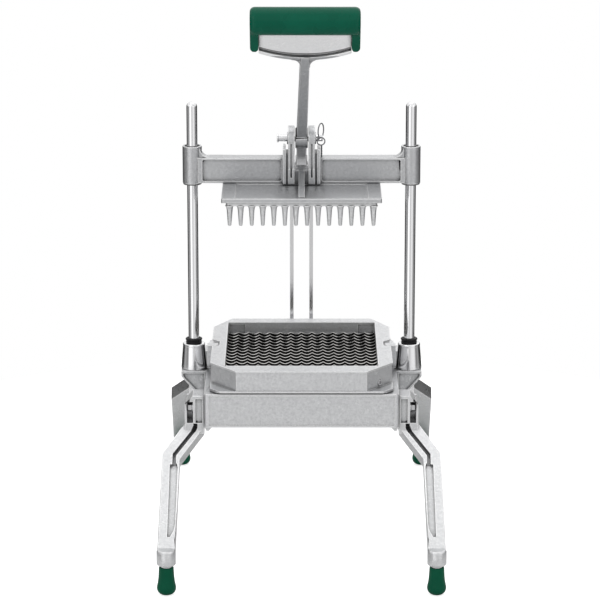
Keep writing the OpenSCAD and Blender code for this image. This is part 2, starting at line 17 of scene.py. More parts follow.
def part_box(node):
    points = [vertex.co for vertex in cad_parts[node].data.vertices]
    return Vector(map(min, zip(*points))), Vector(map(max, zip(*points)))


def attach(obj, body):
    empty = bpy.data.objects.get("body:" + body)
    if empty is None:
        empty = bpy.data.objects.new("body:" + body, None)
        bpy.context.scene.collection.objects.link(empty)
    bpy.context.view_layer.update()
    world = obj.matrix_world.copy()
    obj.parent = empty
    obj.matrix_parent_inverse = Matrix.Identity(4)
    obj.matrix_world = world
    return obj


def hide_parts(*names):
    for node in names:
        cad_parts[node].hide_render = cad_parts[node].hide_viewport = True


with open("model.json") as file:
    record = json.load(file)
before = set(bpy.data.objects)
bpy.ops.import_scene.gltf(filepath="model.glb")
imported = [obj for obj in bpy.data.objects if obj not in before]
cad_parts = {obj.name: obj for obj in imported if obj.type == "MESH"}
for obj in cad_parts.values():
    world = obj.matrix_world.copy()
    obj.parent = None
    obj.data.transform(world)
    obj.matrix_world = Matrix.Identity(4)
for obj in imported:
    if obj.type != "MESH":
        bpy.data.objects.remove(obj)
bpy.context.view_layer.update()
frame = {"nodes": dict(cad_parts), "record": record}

# %% [markdown]
# ## The camera
# The machine is seen from straight in front and about fifteen degrees above, from far
# away, so its upright lines stay almost parallel. A long lens at 2.7 metres gives that
# view. A shorter lens close by would make the front feet look larger.

# %% The camera
scene = bpy.context.scene
aim = Vector((0, 0, 0.2111))
distance = 2.686
tilt = math.radians(15.22)
camera_data = bpy.data.cameras.new("camera")
camera_data.lens = 181.56
camera_data.sensor_width = 36
camera_data.clip_end = 50
camera = bpy.data.objects.new("camera", camera_data)
camera.location = aim + Vector((-0.00133, -distance * math.cos(tilt), distance * math.sin(tilt)))
camera.rotation_euler = (math.pi / 2 - tilt, 0, 0)
scene.collection.objects.link(camera)
scene.camera = camera
print("camera at", tuple(round(v, 3) for v in camera.location))

# %% [markdown]
# ## Light and floor
# Polished metal shows its surroundings more than its own colour, so the room matters. A
# studio tent is bright in front, behind and overhead, and darker at the two
# sides. Those dark sides draw the dark edges down each round post. The room is made in
# the world shader: the direction of a ray is split into its compass angle and its height,
# and two ramps turn those into brightness. Area lamps add a soft key from the upper left,
# a fill from the right and one from behind.

# %% The room
world = bpy.data.worlds.new("studio")
world.use_nodes = True
scene.world = world
tree = world.node_tree
tree.nodes.clear()


def node_in(tree, kind, **values):
    """A new shader node, with its plain properties set."""
    made = tree.nodes.new(kind)
    for key, value in values.items():
        setattr(made, key, value)
    return made


def math_in(tree, operation, first, second=None):
    """A Math node. Its inputs are numbers or sockets."""
    made = node_in(tree, "ShaderNodeMath", operation=operation)
    for slot, value in zip(made.inputs, (first, second)):
        if value is None:
            continue
        if isinstance(value, (int, float)):
            slot.default_value = value
        else:
            tree.links.new(value, slot)
    return made.outputs[0]


def ramp_in(tree, factor, stops, interpolation="EASE"):
    """A colour ramp with grey or coloured stops, as (place, value) pairs."""
    made = node_in(tree, "ShaderNodeValToRGB")
    made.color_ramp.interpolation = interpolation
    elements = made.color_ramp.elements
    while len(elements) < len(stops):
        elements.new(0.5)
    for element, (place, value) in zip(elements, stops):
        element.position = place
        colour = (value, value, value) if isinstance(value, (int, float)) else value
        element.color = (*colour, 1)
    tree.links.new(factor, made.inputs[0])
    return made.outputs[0]


def mix_in(tree, factor, first, second):
    """A colour mix. Its inputs are numbers, colours or sockets."""
    made = node_in(tree, "ShaderNodeMix", data_type="RGBA")
    for slot, value in zip((made.inputs[0], made.inputs[6], made.inputs[7]), (factor, first, second)):
        if isinstance(value, (int, float)):
            slot.default_value = value if slot is made.inputs[0] else (value, value, value, 1)
        elif isinstance(value, tuple):
            slot.default_value = (*value, 1)
        else:
            tree.links.new(value, slot)
    return made.outputs[2]


place = node_in(tree, "ShaderNodeTexCoord")
split = node_in(tree, "ShaderNodeSeparateXYZ")
tree.links.new(place.outputs["Generated"], split.inputs[0])
compass = math_in(tree, "ARCTAN2", split.outputs[0], math_in(tree, "MULTIPLY", split.outputs[1], -1))
turn = math_in(tree, "ADD", math_in(tree, "DIVIDE", compass, 2 * math.pi), 0.5)
around = ramp_in(tree, turn, [(0.0, 1.0), (0.035, 1.0), (0.06, 0.03), (0.18, 0.03),
                              (0.24, 0.40), (0.33, 0.25), (0.38, 1.3), (0.44, 1.3),
                              (0.50, 0.62), (0.58, 0.95), (0.64, 0.95), (0.70, 0.22),
                              (0.76, 0.35), (0.82, 0.03), (0.94, 0.03), (0.965, 1.0)])
height = math_in(tree, "ADD", math_in(tree, "MULTIPLY", split.outputs[2], 0.5), 0.5)
overhead = ramp_in(tree, height, [(0.0, 0.0), (0.54, 0.0), (0.66, 1.0), (1.0, 1.0)])
room = mix_in(tree, overhead, around, 1.0)
seen = node_in(tree, "ShaderNodeLightPath")
shown = mix_in(tree, seen.outputs["Is Camera Ray"], room, 1.0)
background = node_in(tree, "ShaderNodeBackground")
background.inputs["Strength"].default_value = 1.0
tree.links.new(shown, background.inputs["Color"])
output = node_in(tree, "ShaderNodeOutputWorld")
tree.links.new(background.outputs[0], output.inputs[0])
scene.view_settings.view_transform = "Standard"
print("room made of", len(tree.nodes), "nodes")

# %% The lamps
machine_middle = Vector((0, 0, 0.22))


def lamp(name, at, size, watts):
    """A square soft box that faces the machine."""
    data = bpy.data.lights.new(name, "AREA")
    data.size = size
    data.energy = watts
    made = bpy.data.objects.new(name, data)
    made.location = at
    made.rotation_euler = (machine_middle - Vector(at)).to_track_quat("-Z", "Y").to_euler()
    scene.collection.objects.link(made)


lamp("key", (-0.9, -1.3, 1.5), 0.8, 2.6)
lamp("fill", (1.3, -1.0, 0.9), 0.9, 0.9)
lamp("top", (0.0, 0.2, 1.7), 1.2, 2.5)
lamp("rear", (0.5, 1.5, 1.2), 0.9, 1.5)

# %% The floor
floor_mesh = bpy.data.meshes.new("floor")
reach = 0.55
floor_sides = 96
turns = [2 * math.pi * k / floor_sides for k in range(floor_sides)]
floor_mesh.from_pydata([(reach * math.cos(a), reach * math.sin(a), 0) for a in turns],
                       [], [tuple(range(floor_sides))])
floor = bpy.data.objects.new("floor", floor_mesh)
scene.collection.objects.link(floor)
paint = bpy.data.materials.new("pale_floor")
paint.use_nodes = True
sheet = paint.node_tree.nodes["Principled BSDF"]
sheet.inputs["Base Color"].default_value = (0.70, 0.70, 0.70, 1)
sheet.inputs["Roughness"].default_value = 0.9
sheet.inputs["Emission Color"].default_value = (1, 1, 1, 1)
to_camera = node_in(paint.node_tree, "ShaderNodeLightPath").outputs["Is Camera Ray"]
glow = math_in(paint.node_tree, "MULTIPLY", to_camera, 0.68)
paint.node_tree.links.new(glow, sheet.inputs["Emission Strength"])
floor_mesh.materials.append(paint)
print("floor at z =", 0)

# %% [markdown]
# ## Shared effects
# Five effects come back in several finishes, so each is a node group with named sockets.
# Grain is the fine pitted skin that a tumbling drum leaves on cast aluminium. Handling is
# the broad, faint change of tone that fingers and washing leave on any surface. Crevice
# finds inner corners, where the cast finishes paint shade. Bright rims finds outer edges,
# where the cast finishes paint a highlight. Brushing is the run of fine lines along drawn
# or ground steel. Each group gives back a height for a Bump node, or a mask that roughness
# and colour can follow.

# %% The effect groups
def group(name, inputs, outputs):
    """An empty shader group with float inputs (name, value) and float outputs."""
    made = bpy.data.node_groups.new(name, "ShaderNodeTree")
    for label, value in inputs:
        socket = made.interface.new_socket(label, in_out="INPUT", socket_type="NodeSocketFloat")
        socket.default_value = value
    for label in outputs:
        made.interface.new_socket(label, in_out="OUTPUT", socket_type="NodeSocketFloat")
    return made, made.nodes.new("NodeGroupInput"), made.nodes.new("NodeGroupOutput")


def noise_in(tree, scale, detail=3.0, roughness=0.5, stretch=None):
    """A noise pattern on Object coordinates. Scale is a number or a socket."""
    spot = node_in(tree, "ShaderNodeTexCoord").outputs["Object"]
    if stretch:
        mapping = node_in(tree, "ShaderNodeMapping")
        mapping.inputs["Scale"].default_value = stretch
        tree.links.new(spot, mapping.inputs["Vector"])
        spot = mapping.outputs[0]
    made = node_in(tree, "ShaderNodeTexNoise")
    made.inputs["Detail"].default_value = detail
    made.inputs["Roughness"].default_value = roughness
    tree.links.new(spot, made.inputs["Vector"])
    if isinstance(scale, (int, float)):
        made.inputs["Scale"].default_value = scale
    else:
        tree.links.new(scale, made.inputs["Scale"])
    return made.outputs["Fac"]


grain, grain_in, grain_out = group("tumbled_grain", [("Scale", 900.0), ("Pits", 0.5)], ["Height", "Speckle"])
fine = noise_in(grain, grain_in.outputs["Scale"], 4.0, 0.65)
coarse = noise_in(grain, math_in(grain, "MULTIPLY", grain_in.outputs["Scale"], 0.31), 2.0, 0.5)
pit = math_in(grain, "GREATER_THAN", coarse, 0.66)
pit_depth = math_in(grain, "MULTIPLY", pit, grain_in.outputs["Pits"])
pitted = math_in(grain, "SUBTRACT", fine, math_in(grain, "MULTIPLY", pit_depth, 0.4))
grain.links.new(pitted, grain_out.inputs["Height"])
both = math_in(grain, "ADD", math_in(grain, "MULTIPLY", fine, 0.7), math_in(grain, "MULTIPLY", coarse, 0.3))
speckle = ramp_in(grain, both, [(0.36, 0.0), (0.64, 1.0)], "LINEAR")
grain.links.new(speckle, grain_out.inputs["Speckle"])

handling, _, handling_out = group("handling", [], ["Mask"])
broad = noise_in(handling, 38.0, 3.0, 0.6)
handling.links.new(ramp_in(handling, broad, [(0.35, 0.0), (0.7, 1.0)]), handling_out.inputs["Mask"])

# Crevice: an ambient occlusion mask of inner corners, which the cast finishes use for painted shade.
crevice, crevice_in, crevice_out = group("crevice", [("Reach", 0.006)], ["Open"])
shade = node_in(crevice, "ShaderNodeAmbientOcclusion", samples=6)
crevice.links.new(crevice_in.outputs["Reach"], shade.inputs["Distance"])
openness = ramp_in(crevice, shade.outputs["AO"], [(0.30, 0.0), (0.92, 1.0)])
crevice.links.new(openness, crevice_out.inputs["Open"])

# Bright rims: a bevel mask of outer edges, which the cast finishes use for a painted highlight.
rims, rims_in, rims_out = group("bright_rims", [("Width", 0.001)], ["Rim"])
worn = node_in(rims, "ShaderNodeBevel", samples=6)
rims.links.new(rims_in.outputs["Width"], worn.inputs["Radius"])
facing = node_in(rims, "ShaderNodeVectorMath", operation="DOT_PRODUCT")
rims.links.new(worn.outputs[0], facing.inputs[0])
rims.links.new(node_in(rims, "ShaderNodeNewGeometry").outputs["Normal"], facing.inputs[1])
rims.links.new(ramp_in(rims, facing.outputs["Value"], [(0.93, 1.0), (0.9985, 0.0)]), rims_out.inputs["Rim"])

brushing, brush_in, brush_out = group("brushed_lines", [("Scale", 60.0)], ["Height"])
drawn = noise_in(brushing, brush_in.outputs["Scale"], 3.0, 0.6, stretch=(40, 40, 1))
brushing.links.new(drawn, brush_out.inputs["Height"])
print("groups:", [g.name for g in bpy.data.node_groups])

# %% [markdown]
# ## The finishes
# Each finish is one Principled shader. Colours, roughness and gloss that are the same all
# over are set on the shader itself. What changes over the surface comes from the groups:
# the grain feeds a Bump node and shifts the roughness, and handling marks make the gloss
# uneven, as they do on a used machine.

# %% The finishes
def finish_of(name, colour, metallic, roughness, **plain):
    """A material with a Principled shader. Returns the material, its tree and the shader."""
    made = bpy.data.materials.new(name)
    made.use_nodes = True
    shader = made.node_tree.nodes["Principled BSDF"]
    shader.inputs["Base Color"].default_value = (*colour, 1)
    shader.inputs["Metallic"].default_value = metallic
    shader.inputs["Roughness"].default_value = roughness
    for label, value in plain.items():
        shader.inputs[label.replace("_", " ")].default_value = value
    return made, made.node_tree, shader


def use(tree, shared, **values):
    """A group node of a shared effect, with its own values."""
    made = node_in(tree, "ShaderNodeGroup")
    made.node_tree = shared
    for label, value in values.items():
        made.inputs[label].default_value = value
    return made


def bump_in(tree, shader, height, strength, depth):
    """Feeds a height to the shader's normal."""
    made = node_in(tree, "ShaderNodeBump")
    made.inputs["Strength"].default_value = strength
    made.inputs["Distance"].default_value = depth
    tree.links.new(height, made.inputs["Height"])
    tree.links.new(made.outputs[0], shader.inputs["Normal"])


def between(tree, mask, low, high):
    """Runs from low to high as a mask runs from 0 to 1."""
    return math_in(tree, "ADD", math_in(tree, "MULTIPLY", mask, high - low), low)


def cast_finish(name, light, dark, rough, strength, painted_highlight_above=None):
    """Tumbled cast aluminium: speckled, slightly rough, bumpy at half a millimetre. Its colour
    has painted shade in inner corners and a painted highlight along outer edges. Above the
    given height, in metres, it is painted a lighter tone, a painted highlight on the top."""
    made, tree, shader = finish_of(name, light, 0.92, rough)
    skin = use(tree, grain, Scale=1500.0, Pits=0.6)
    marks = use(tree, handling)
    hollow = use(tree, crevice, Reach=0.005)
    bright = mix_in(tree, skin.outputs["Speckle"], dark, light)
    # Painted highlight: above the given height the colour is lightened toward white.
    if painted_highlight_above is not None:
        level = node_in(tree, "ShaderNodeSeparateXYZ")
        tree.links.new(node_in(tree, "ShaderNodeTexCoord").outputs["Object"], level.inputs[0])
        above = math_in(tree, "GREATER_THAN", level.outputs[2], painted_highlight_above)
        painted_top_highlight = mix_in(tree, skin.outputs["Speckle"], (0.88, 0.88, 0.89), (1.0, 1.0, 1.0))
        bright = mix_in(tree, above, bright, painted_top_highlight)
    rim = use(tree, rims, Width=0.0013).outputs["Rim"]
    # Painted highlight: the colour turns white along the outer edges that the rim mask finds.
    rim_painted_highlight = mix_in(tree, math_in(tree, "MULTIPLY", rim, hollow.outputs["Open"]), bright, (1.0, 1.0, 1.0))
    # Painted shade: the colour turns dark where the crevice mask finds inner corners.
    crevice_painted_shade = mix_in(tree, hollow.outputs["Open"], tuple(c * 0.22 for c in dark), rim_painted_highlight)
    tree.links.new(crevice_painted_shade, shader.inputs["Base Color"])
    tone = math_in(tree, "ADD", between(tree, skin.outputs["Speckle"], rough + 0.10, rough - 0.06),
                   math_in(tree, "MULTIPLY", marks.outputs["Mask"], 0.05))
    tree.links.new(tone, shader.inputs["Roughness"])
    bump_in(tree, shader, skin.outputs["Height"], strength, 0.0004)
    return made


cast = cast_finish("cast_aluminium", (0.76, 0.765, 0.775), (0.50, 0.505, 0.515), 0.30, 0.34)
# Painted shade: a darker copy of the cast finish, for the crosshead and the push plate.
cast_painted_shade = cast_finish("cast_aluminium_shaded", (0.60, 0.605, 0.615), (0.40, 0.405, 0.415), 0.30, 0.34)
cast_smooth = cast_finish("cast_aluminium_fine", (0.76, 0.765, 0.77), (0.54, 0.545, 0.555), 0.28, 0.20)
head_height = 0.4425
# The lever: a darker copy of the cast finish, painted lighter above its head as a painted highlight.
cast_lever = cast_finish("cast_aluminium_lever", (0.52, 0.525, 0.535), (0.34, 0.345, 0.355), 0.30, 0.34,
                         painted_highlight_above=head_height)


def steel_finish(name, colour, rough, lines, strength):
    """Drawn or polished steel with faint lines along its length."""
    made, tree, shader = finish_of(name, colour, 1.0, rough)
    marks = use(tree, handling)
    tree.links.new(between(tree, marks.outputs["Mask"], rough, rough + 0.06), shader.inputs["Roughness"])
    bump_in(tree, shader, use(tree, brushing, Scale=lines).outputs["Height"], strength, 0.0001)
    return made


polished = steel_finish("stainless", (0.83, 0.83, 0.84), 0.12, 50.0, 0.05)
dark_chrome = steel_finish("dark_chrome", (0.20, 0.20, 0.21), 0.15, 70.0, 0.05)
fastener = steel_finish("fastener_steel", (0.60, 0.60, 0.61), 0.24, 70.0, 0.10)
blade, blade_tree, blade_shader = finish_of("blade_steel", (0.10, 0.098, 0.095), 1.0, 0.3)
upright = node_in(blade_tree, "ShaderNodeSeparateXYZ")
blade_tree.links.new(node_in(blade_tree, "ShaderNodeTexCoord").outputs["Normal"], upright.inputs[0])
honed_band = ramp_in(blade_tree, upright.outputs[2], [(0.08, 0.0), (0.16, 1.0)], "LINEAR")
blade_tree.links.new(mix_in(blade_tree, honed_band, (0.02, 0.0195, 0.019), (0.72, 0.71, 0.69)),
                     blade_shader.inputs["Base Color"])
blade_tree.links.new(between(blade_tree, honed_band, 0.42, 0.22), blade_shader.inputs["Roughness"])
bump_in(blade_tree, blade_shader, use(blade_tree, brushing, Scale=90.0).outputs["Height"], 0.12, 0.0001)
bearing = steel_finish("dark_bearing", (0.10, 0.10, 0.10), 0.45, 60.0, 0.10)


def moulded_finish(name, colour, rough, coat, strength, scale):
    """Moulded plastic or rubber: a soft orange-peel skin, glossier where it is handled."""
    made, tree, shader = finish_of(name, colour, 0.0, rough, Coat_Weight=coat, Coat_Roughness=0.08,
                                   Specular_IOR_Level=0.1)
    skin = use(tree, grain, Scale=scale, Pits=0.0)
    marks = use(tree, handling)
    deep = tuple(c * 0.86 for c in colour)
    tree.links.new(mix_in(tree, marks.outputs["Mask"], deep, colour), shader.inputs["Base Color"])
    tree.links.new(between(tree, marks.outputs["Mask"], rough, rough + 0.08), shader.inputs["Roughness"])
    bump_in(tree, shader, skin.outputs["Height"], strength, 0.0002)
    return made


green_plastic = moulded_finish("green_plastic", (0.0, 0.092, 0.052), 0.25, 0.06, 0.05, 500.0)
green_rubber = moulded_finish("green_rubber", (0.0, 0.080, 0.040), 0.40, 0.02, 0.15, 900.0)
black_rubber = moulded_finish("black_rubber", (0.012, 0.012, 0.013), 0.45, 0.1, 0.15, 900.0)
print("finishes:", [m.name for m in bpy.data.materials])

# %% [markdown]
# ## Bringing the castings over
# A casting never has a knife edge: its corners are rounded by the mould and the drum. The
# CAD solids have sharp corners, so each one is copied, its loose triangles are merged, and
# a live Bevel rounds every edge that turns by more than about thirty degrees. The flat
# faces keep their triangles: a face with a hole through it can't be one polygon, so
# joining its triangles would close the hole. The two link bars are the exception: their
# long thin triangles streak when rounded, and joining them closes nothing. Hardened
# normals keep the flat faces flat. The copy then stands for the CAD node and rides on
# the same body.

# %% The rounding helper
body_of = {n: b for b, names in frame["record"]["behaviour"]["bodies"].items() for n in names}


def piece_from(name, mesh, body, slot, finish, *stands_for):
    """Links a finished mesh as a piece that rides on a body."""
    made = bpy.data.objects.new(name, mesh)
    scene.collection.objects.link(made)
    mesh.materials.clear()
    mesh.materials.append(finish)
    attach(made, body)
    if stands_for:
        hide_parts(*stands_for)
    return made


same_spot = 2e-5
flat_within = math.radians(1.0)
rounded_past = math.radians(32)


def merged_copy(node, name, join_flat=False):
    """A clean mesh of a CAD node: doubles merged, and flat faces joined if asked."""
    shape = bmesh.new()
    shape.from_mesh(frame["nodes"][node].data)
    bmesh.ops.remove_doubles(shape, verts=shape.verts, dist=same_spot)
    bmesh.ops.dissolve_degenerate(shape, edges=shape.edges, dist=same_spot)
    if join_flat:
        bmesh.ops.dissolve_limit(shape, angle_limit=flat_within, verts=shape.verts, edges=shape.edges)
    plain = bpy.data.meshes.new(name)
    shape.verts.index_update()
    plain.from_pydata([v.co[:] for v in shape.verts], [], [[v.index for v in f.verts] for f in shape.faces])
    shape.free()
    return plain


def softened(node, slot, finish, width, join_flat=False):
    """A copy of a CAD node with its edges rounded."""
    mesh = merged_copy(node, node + "_soft", join_flat)
    mesh.shade_smooth()
    made = piece_from(node + "_soft", mesh, body_of[node], slot, finish, node)
    rounding = made.modifiers.new("rounding", "BEVEL")
    rounding.width = width
    rounding.segments = 2
    rounding.limit_method = "ANGLE"
    rounding.angle_limit = rounded_past
    rounding.use_clamp_overlap = False
    rounding.harden_normals = True


mm = 0.001
corners = ("front_left", "front_right", "rear_left", "rear_right")
castings = {"base_casting": (cast, 0.3), "rear_bracket": (cast, 0.4), "blade_frame": (cast, 0.3),
            "crosshead": (cast_painted_shade, 0.4), "push_plate": (cast_painted_shade, 0.3), "lever": (cast_lever, 0.6)}
castings.update({"leg_" + corner: (cast_smooth, 0.3) for corner in corners})
for node, (finish, width) in castings.items():
    softened(node, "cast_aluminium", finish, width * mm)
print("castings rounded:", len(castings))

# %% [markdown]
# ## The blade grid
# A honed blade is thick below and thin at its edge, and the narrow sloping band just under
# the edge is what catches the light. The crosswise blades stand above the lengthwise ones
# and dip in a shallow scallop over each cell, which draws the food in. One blade is a
# strip of quads whose top row follows the scallops; a live Array repeats it.

# %% The scalloped blades
cell = 0.009525
cells = 14
low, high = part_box("blades_crosswise")
dip = 0.0018
steps = 12
half_thick = 0.0004
half_edge = 0.00006
honed_height = 0.0004


def scallop(step):
    """Depth of the dip at a step along the blade."""
    return dip * math.sin(math.pi * (step % steps) / steps)


def blade_strip(name, length_steps, run, depth_at, bottom, top):
    """A closed strip of blade along X or Y, thin at its upper edge."""
    verts, faces = [], []
    for step in range(length_steps + 1):
        crest = top - depth_at(step)
        shoulder = crest - honed_height
        along = run[0] + (run[1] - run[0]) * step / length_steps
        rows = [(half_thick, bottom), (half_thick, shoulder), (half_edge, crest),
                (-half_edge, crest), (-half_thick, shoulder), (-half_thick, bottom)]
        verts.extend((along, side, height) for side, height in rows)
    count = len(rows)
    for step in range(length_steps):
        for k in range(count):
            a, b = step * count + k, step * count + (k + 1) % count
            faces.append((a, b, b + count, a + count))
    faces.append(tuple(range(count))[::-1])
    faces.append(tuple(length_steps * count + k for k in range(count)))
    mesh = bpy.data.meshes.new(name)
    mesh.from_pydata(verts, [], faces)
    shape = bmesh.new()
    shape.from_mesh(mesh)
    bmesh.ops.recalc_face_normals(shape, faces=shape.faces)
    shape.to_mesh(mesh)
    shape.free()
    return mesh


def repeated(piece, axis, step, count):
    """A live Array along one axis."""
    array = piece.modifiers.new("array_" + "xyz"[axis], "ARRAY")
    array.count = count
    array.use_relative_offset = False
    array.use_constant_offset = True
    offset = [0, 0, 0]
    offset[axis] = step
    array.constant_offset_displace = offset
    array.use_merge_vertices = False


wavy_mesh = blade_strip("wavy_blades", cells * steps, (low.x, high.x), scallop, low.z, high.z)
wavy_mesh.transform(Matrix.Translation((0, low.y + half_thick, 0)))
wavy = piece_from("wavy_blades", wavy_mesh, body_of["blades_crosswise"], "blade_steel", blade,
                  "blades_crosswise")
repeated(wavy, 1, cell, cells - 1)
low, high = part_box("blades_lengthwise")
plain_mesh = blade_strip("plain_blades", 1, (low.y, high.y), lambda step: 0.0, low.z, high.z)
plain_mesh.transform(Matrix.Rotation(math.pi / 2, 4, "Z"))
plain_mesh.transform(Matrix.Translation((low.x + half_thick, 0, 0)))
plain = piece_from("plain_blades", plain_mesh, body_of["blades_lengthwise"], "blade_steel", blade,
                   "blades_lengthwise")
repeated(plain, 0, cell, cells - 1)
print("blades:", 2 * (cells - 1))

# %% [markdown]
# ## The pusher fingers
# The fingers are cast with their plate: each flares where it leaves the plate, tapers, and
# ends in a small rounded tip. One finger is turned by a Screw from a short profile and
# repeated by two Arrays, so that 196 fingers cost little. The thin plate they hang from is
# the CAD node's own slab, made again as a rounded box.

# %% A helper for turned pieces
crease = math.radians(38)


def turned(name, profile, at, round_steps):
    """A mesh turned about Z from (radius, height) pairs that run from top to bottom."""
    line = bpy.data.meshes.new(name + "_line")
    line.from_pydata([(r, 0, z) for r, z in profile], [(k, k + 1) for k in range(len(profile) - 1)], [])
    made = bpy.data.objects.new(name + "_turning", line)
    scene.collection.objects.link(made)
    screw = made.modifiers.new("turning", "SCREW")
    screw.steps = screw.render_steps = round_steps
    screw.use_merge_vertices = True
    screw.merge_threshold = 2e-6
    screw.use_smooth_shade = True
    bpy.context.view_layer.update()
    mesh = bpy.data.meshes.new_from_object(made.evaluated_get(bpy.context.evaluated_depsgraph_get()))
    bpy.data.objects.remove(made)
    bpy.data.meshes.remove(line)
    mesh.name = name
    mesh.transform(Matrix.Translation(at))
    mesh.shade_smooth()
    mesh.set_sharp_from_angle(angle=crease)
    return mesh


def rounded_profile(points, radius, corners=3):
    """(radius, height) pairs with every inner corner rounded by a short arc."""
    path = [Vector(p) for p in points]
    out = [path[0]]
    for before, here, after in zip(path, path[1:], path[2:]):
        back, on = before - here, after - here
        cut = min(radius, back.length * 0.45, on.length * 0.45)
        start, end = here + back.normalized() * cut, here + on.normalized() * cut
        for k in range(corners + 1):
            t = k / corners
            out.append(start * (1 - t) ** 2 + here * 2 * t * (1 - t) + end * t ** 2)
    out.append(path[-1])
    return [tuple(p) for p in out]


def joined(name, meshes):
    """Several meshes made into one."""
    shape = bmesh.new()
    for mesh in meshes:
        shape.from_mesh(mesh)
        bpy.data.meshes.remove(mesh)
    out = bpy.data.meshes.new(name)
    shape.to_mesh(out)
    shape.free()
    out.shade_smooth()
    out.set_sharp_from_angle(angle=crease)
    return out


# %% The fingers
low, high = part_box("fingers")
finger = turned("pusher_fingers", [(0, high.z + 0.5 * mm), (3.7 * mm, high.z + 0.5 * mm),
                                   (3.5 * mm, high.z - 0.5 * mm), (2.8 * mm, high.z - 1.6 * mm),
                                   (2.4 * mm, high.z - 4.0 * mm), (1.55 * mm, low.z + 1.0 * mm),
                                   (1.2 * mm, low.z + 0.3 * mm), (0, low.z)],
                (-(cells - 1) / 2 * cell, -(cells - 1) / 2 * cell, 0), 12)
fingers = piece_from("pusher_fingers", finger, "crosshead", "cast_aluminium", cast_smooth, "fingers")
repeated(fingers, 0, cell, cells)
repeated(fingers, 1, cell, cells)


def plate_mesh(name, low, high, corner, edge):
    """A flat plate with rounded corners and softened edges."""
    shape = bmesh.new()
    bmesh.ops.create_cube(shape, size=1)
    for v in shape.verts:
        v.co = Vector([low[k] if v.co[k] < 0 else high[k] for k in range(3)])
    upright = [e for e in shape.edges if abs(e.verts[0].co.z - e.verts[1].co.z) > 1e-6]
    bmesh.ops.bevel(shape, geom=upright, offset=corner, segments=5, profile=0.5, affect="EDGES")
    flat = [e for e in shape.edges
            if abs(e.verts[0].co.z - e.verts[1].co.z) < 1e-6 and len(e.link_faces) == 2
            and abs(e.link_faces[0].normal.dot(e.link_faces[1].normal)) < 0.5]
    bmesh.ops.bevel(shape, geom=flat, offset=edge, segments=2, profile=0.5, affect="EDGES")
    mesh = bpy.data.meshes.new(name)
    shape.to_mesh(mesh)
    shape.free()
    mesh.shade_smooth()
    mesh.set_sharp_from_angle(angle=math.radians(50))
    return mesh


low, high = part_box("finger_block")
piece_from("finger_plate", plate_mesh("finger_plate", low, high, 0.002, 0.0004),
           "crosshead", "cast_aluminium", cast_smooth, "finger_block")
print("fingers:", cells * cells)

# %% [markdown]
# ## Posts, sockets and bumpers
# The posts are ground bar with domed tops. Each stands in a polished cone with a rolled
# lip, and a soft two-lobed rubber ring on top stops the sleeve. All three are turned.

# %% Posts, sockets and bumpers
for side in ("left", "right"):
    low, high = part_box("post_" + side)
    middle = ((low.x + high.x) / 2, 0, 0)
    r = (high.x - low.x) / 2
    dome = [(r * math.sin(a), high.z - r + r * math.cos(a))
            for a in [math.pi / 2 * k / 10 for k in range(11)]]
    post_line = dome + [(r, low.z + 0.0006), (r - 0.0006, low.z), (0, low.z)]
    piece_from("post_bar_" + side, turned("post_bar_" + side, post_line, middle, 64),
               "base", "stainless", polished, "post_" + side)
    low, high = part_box("post_socket_" + side)
    inner, wide, narrow = r + 0.0001, (high.x - low.x) / 2, 0.0099
    cone = rounded_profile([(inner, high.z - 0.003), (inner, high.z), (narrow - 0.0004, high.z),
                            (narrow, high.z - 0.0012), (narrow - 0.0001, high.z - 0.003),
                            (wide, low.z), (inner, low.z)], 0.0006)
    piece_from("post_cone_" + side, turned("post_cone_" + side, cone, middle, 64),
               "base", "stainless", polished, "post_socket_" + side)
    low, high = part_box("bumper_" + side)
    wide = (high.x - low.x) / 2
    lobes = [(inner, high.z), (6.2 * mm, high.z), (wide - 0.2 * mm, high.z - 0.5 * mm),
             (wide, high.z - 1.2 * mm), (wide - 0.4 * mm, high.z - 2.0 * mm),
             (6.3 * mm, high.z - 2.5 * mm), (7.0 * mm, high.z - 3.1 * mm),
             (7.1 * mm, high.z - 3.8 * mm), (6.7 * mm, low.z), (inner, low.z)]
    ring_mesh = turned("post_bumper_" + side, rounded_profile(lobes, 0.0004), middle, 48)
    piece_from("post_bumper_" + side, ring_mesh, "base", "black_rubber", black_rubber, "bumper_" + side)
print("posts are", round(2 * r * 1000, 2), "mm thick")

# %% [markdown]
# ## The feet
# Each foot is a soft green rubber boot on a threaded stud: a slightly waisted sleeve that
# flares to a bulb and ends in a rounded sole.

# %% The feet
for corner in corners:
    low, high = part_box("foot_" + corner)
    middle = ((low.x + high.x) / 2, (low.y + high.y) / 2, 0)
    wide, top = (high.x - low.x) / 2, high.z
    boot = [(5.0 * mm, top - 0.5 * mm), (5.9 * mm, top), (6.3 * mm, top - 0.8 * mm), (6.5 * mm, top - 5 * mm),
            (6.7 * mm, 16 * mm), (7.3 * mm, 11 * mm), (wide - 0.15 * mm, 7.5 * mm), (wide, 6 * mm),
            (wide - 0.15 * mm, 4.6 * mm), (7.3 * mm, 2.6 * mm), (5.6 * mm, 0.9 * mm), (3.2 * mm, 0.0), (0, 0)]
    boot_mesh = turned("boot_" + corner, rounded_profile(boot, 0.001), middle, 40)
    piece_from("boot_" + corner, boot_mesh, "base", "green_rubber", green_rubber, "foot_" + corner)
print("feet:", len(corners))

# %% [markdown]
# ## The grip
# The grip is a thick moulded bar whose two ends turn down and wrap the sides of the
# lever's head. In the CAD solid these meet at sharp inner corners. A voxel Remesh of a
# copy joins them into one skin, and a Smooth rounds every corner as the mould does.

